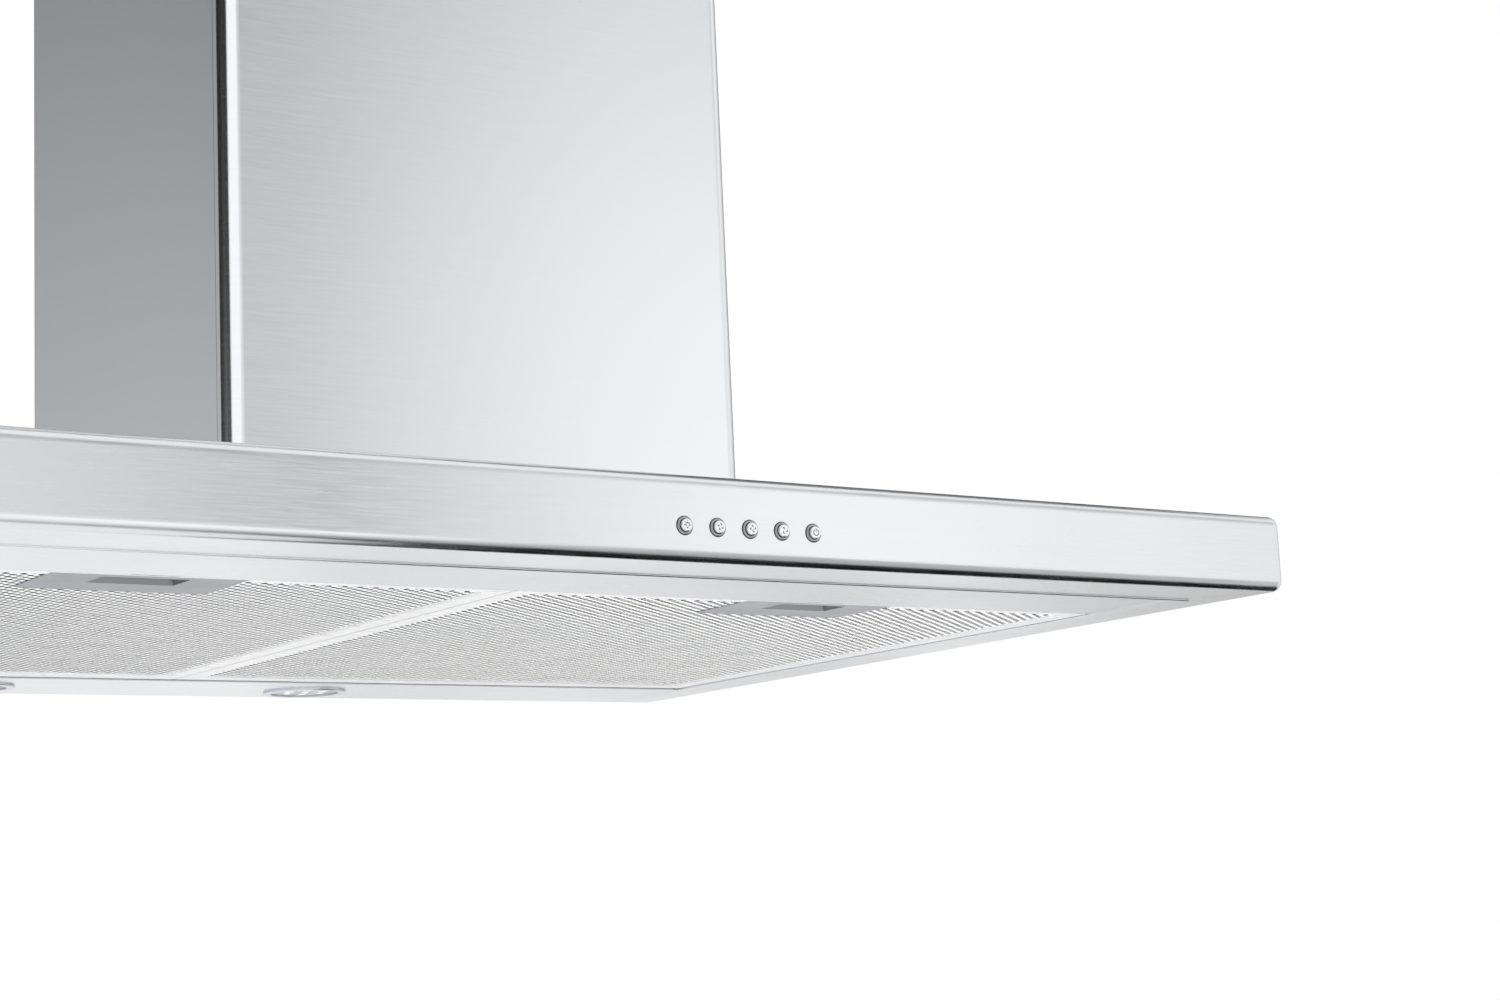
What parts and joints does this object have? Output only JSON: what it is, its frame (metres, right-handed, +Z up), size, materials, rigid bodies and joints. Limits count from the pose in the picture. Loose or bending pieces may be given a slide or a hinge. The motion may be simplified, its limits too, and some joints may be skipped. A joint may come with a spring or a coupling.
{
  "type": "range hood",
  "caption": "Ceiling-hung kitchen range hood: flat wide canopy with drop-down mesh filters, lamps and push buttons under a two-stage box chimney holding a ducted blower.",
  "frame": {"origin": "centre of the four ceiling bolts, on the ceiling face of the hanging plate", "axes": "+X to the user's right along the wide side, +Y away from the user to the back, +Z up"},
  "size_m": [0.9, 0.7046, 0.8318],
  "materials": {
    "brushed_steel": "fine horizontal brushed stainless steel",
    "satin_panel": "satin stainless sheet on the underside",
    "filter_metal": "bright rolled aluminium filter frame",
    "filter_mesh": "fine expanded aluminium mesh",
    "latch_grey": "satin grey moulded plastic",
    "spring_steel": "bright spring wire",
    "lamp_ring": "satin chrome lamp bezel",
    "lamp_glass": "frosted glass",
    "lamp_board": "white circuit board with lamps",
    "lamp_can": "die-cast aluminium can",
    "button_metal": "satin metal button cap",
    "button_ring": "polished ring",
    "black_plastic": "black moulded plastic",
    "circuit_board": "green circuit board",
    "galvanised": "galvanised sheet steel",
    "blower_plastic": "dark moulded plastic",
    "motor_metal": "grey painted motor can",
    "capacitor_white": "white capacitor can",
    "zinc_screw": "zinc plated fasteners"
  },
  "bodies": {
    "hood": {"canopy_shell": "brushed_steel", "front_rail": "satin_panel", "rear_panel": "satin_panel", "lower_cover_front": "brushed_steel", "lower_cover_rear": "brushed_steel", "button_rings": "button_ring", "switch_housing": "black_plastic", "switch_board": "circuit_board", "scroll_half_left": "blower_plastic", "scroll_half_right": "blower_plastic", "motor": "motor_metal", "motor_bracket": "galvanised", "air_box": "galvanised", "outlet_collar": "blower_plastic", "damper_pin": "zinc_screw", "control_box": "black_plastic", "control_board": "circuit_board", "control_lid": "black_plastic", "junction_box": "black_plastic", "cable_gland": "black_plastic", "capacitor": "capacitor_white", "cover_feet": "galvanised", "self_tapping_screws": "zinc_screw", "lower_frame": "galvanised", "upper_frame": "galvanised", "ceiling_plate": "galvanised", "frame_bolts": "zinc_screw", "plate_screws": "zinc_screw", "lamp_bezel_left": "lamp_ring", "lamp_lens_left": "lamp_glass", "lamp_led_board_left": "lamp_board", "lamp_housing_left": "lamp_can", "lamp_bezel_right": "lamp_ring", "lamp_lens_right": "lamp_glass", "lamp_led_board_right": "lamp_board", "lamp_housing_right": "lamp_can"},
    "filter_left": {"filter_frame_left": "filter_metal", "filter_face_mesh_left": "filter_mesh", "filter_core_left": "filter_mesh", "filter_back_mesh_left": "filter_mesh", "latch_body_left": "latch_grey"},
    "latch_left": {"latch_slide_left": "latch_grey", "latch_spring_left": "spring_steel"},
    "filter_right": {"filter_frame_right": "filter_metal", "filter_face_mesh_right": "filter_mesh", "filter_core_right": "filter_mesh", "filter_back_mesh_right": "filter_mesh", "latch_body_right": "latch_grey"},
    "latch_right": {"latch_slide_right": "latch_grey", "latch_spring_right": "spring_steel"},
    "light_button": {"light_button": "button_metal"},
    "fan_low_button": {"fan_low_button": "button_metal"},
    "fan_medium_button": {"fan_medium_button": "button_metal"},
    "fan_high_button": {"fan_high_button": "button_metal"},
    "power_button": {"power_button": "button_metal"},
    "upper_chimney": {"upper_cover_front": "brushed_steel", "upper_cover_rear": "brushed_steel"},
    "blower_wheel": {"impeller": "blower_plastic"},
    "damper_front": {"damper_flap_front": "blower_plastic"},
    "damper_rear": {"damper_flap_rear": "blower_plastic"}
  },
  "joints": [
    {"name": "light_button_press", "type": "slide", "parent": "hood", "child": "light_button", "axis": [0, 1, 0], "range_m": [0, 0.0015], "stiffness_N_per_m": 800, "springref_m": -0.001},
    {"name": "fan_low_button_press", "type": "slide", "parent": "hood", "child": "fan_low_button", "axis": [0, 1, 0], "range_m": [0, 0.0015], "stiffness_N_per_m": 800, "springref_m": -0.001},
    {"name": "fan_medium_button_press", "type": "slide", "parent": "hood", "child": "fan_medium_button", "axis": [0, 1, 0], "range_m": [0, 0.0015], "stiffness_N_per_m": 800, "springref_m": -0.001},
    {"name": "fan_high_button_press", "type": "slide", "parent": "hood", "child": "fan_high_button", "axis": [0, 1, 0], "range_m": [0, 0.0015], "stiffness_N_per_m": 800, "springref_m": -0.001},
    {"name": "power_button_press", "type": "slide", "parent": "hood", "child": "power_button", "axis": [0, 1, 0], "range_m": [0, 0.0015], "stiffness_N_per_m": 800, "springref_m": -0.001},
    {"name": "filter_left_swing", "type": "hinge", "parent": "hood", "child": "filter_left", "pos_m": [0, 0.3126, -0.8269], "axis": [1, 0, 0], "range_deg": [0, 60]},
    {"name": "latch_left_pull", "type": "slide", "parent": "filter_left", "child": "latch_left", "axis": [0, 1, 0], "range_m": [0, 0.006], "stiffness_N_per_m": 300, "springref_m": -0.008},
    {"name": "filter_right_swing", "type": "hinge", "parent": "hood", "child": "filter_right", "pos_m": [0, 0.3126, -0.8269], "axis": [1, 0, 0], "range_deg": [0, 60]},
    {"name": "latch_right_pull", "type": "slide", "parent": "filter_right", "child": "latch_right", "axis": [0, 1, 0], "range_m": [0, 0.006], "stiffness_N_per_m": 300, "springref_m": -0.008},
    {"name": "upper_chimney_slide", "type": "slide", "parent": "hood", "child": "upper_chimney", "axis": [0, 0, 1], "range_m": [-0.25, 0]},
    {"name": "blower_spin", "type": "hinge", "parent": "hood", "child": "blower_wheel", "pos_m": [0, -0.01, -0.678], "axis": [1, 0, 0], "continuous": true},
    {"name": "damper_front_lift", "type": "hinge", "parent": "hood", "child": "damper_front", "pos_m": [0, 0.022, -0.5262], "axis": [-1, 0, 0], "range_deg": [0, 75]},
    {"name": "damper_rear_lift", "type": "hinge", "parent": "hood", "child": "damper_rear", "pos_m": [0, 0.022, -0.5262], "axis": [1, 0, 0], "range_deg": [0, 75]}
  ]
}
